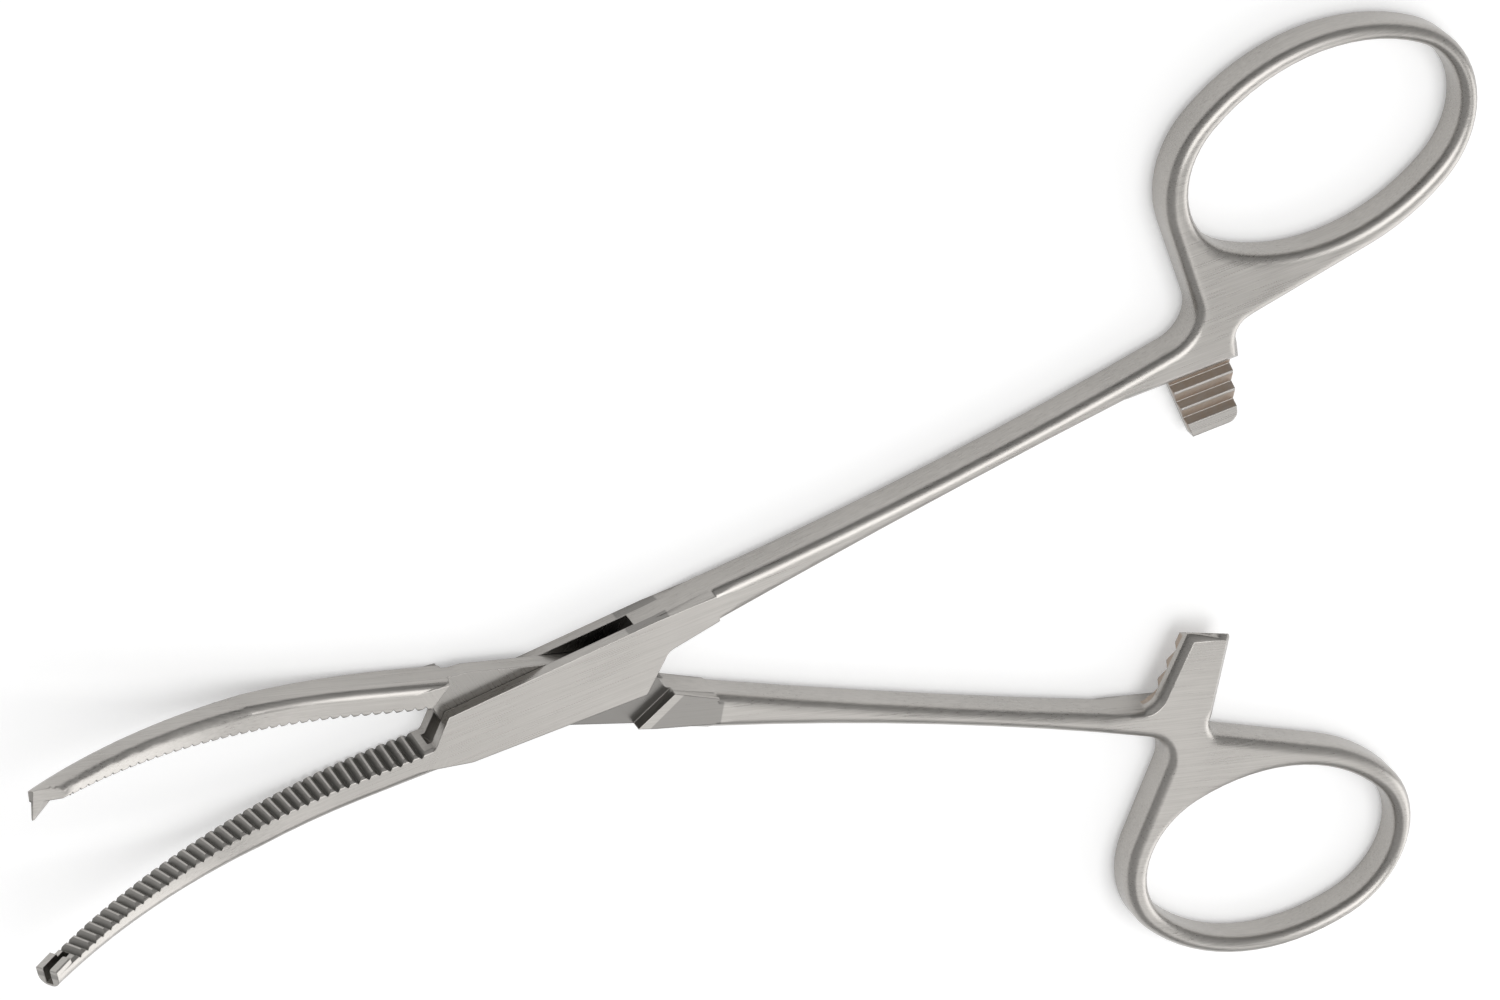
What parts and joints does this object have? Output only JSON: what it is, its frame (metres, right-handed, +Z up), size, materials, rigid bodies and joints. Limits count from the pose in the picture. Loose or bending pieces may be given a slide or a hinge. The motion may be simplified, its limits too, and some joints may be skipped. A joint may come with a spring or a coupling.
{
  "type": "curved hemostatic forceps",
  "caption": "Curved hemostatic forceps with box lock, cross-serrated jaws with interlocking tip teeth, ratchet arms and oval finger rings, lying open.",
  "frame": {"origin": "on the pin's axis, in the plane of the underside that the instrument rests on", "axes": "+X from the pin to the finger rings along the line midway between them, +Y towards the ring of the half with the slotted box, +Z up along the pin, the way the jaws curve"},
  "size_m": [0.1343, 0.0952, 0.0128],
  "materials": {
    "satin_steel": "satin brushed stainless steel",
    "pin_steel": "ground flush, satin"
  },
  "bodies": {
    "box_half": {"box_half": "satin_steel", "lock_pin": "pin_steel"},
    "tenon_half": {"tenon_half": "satin_steel"}
  },
  "joints": [
    {"name": "lock_hinge", "type": "hinge", "parent": "box_half", "child": "tenon_half", "pos_m": [0, 0, 0.0018], "axis": [0, 0, -1], "range_deg": [-18.8, 41.2]}
  ]
}
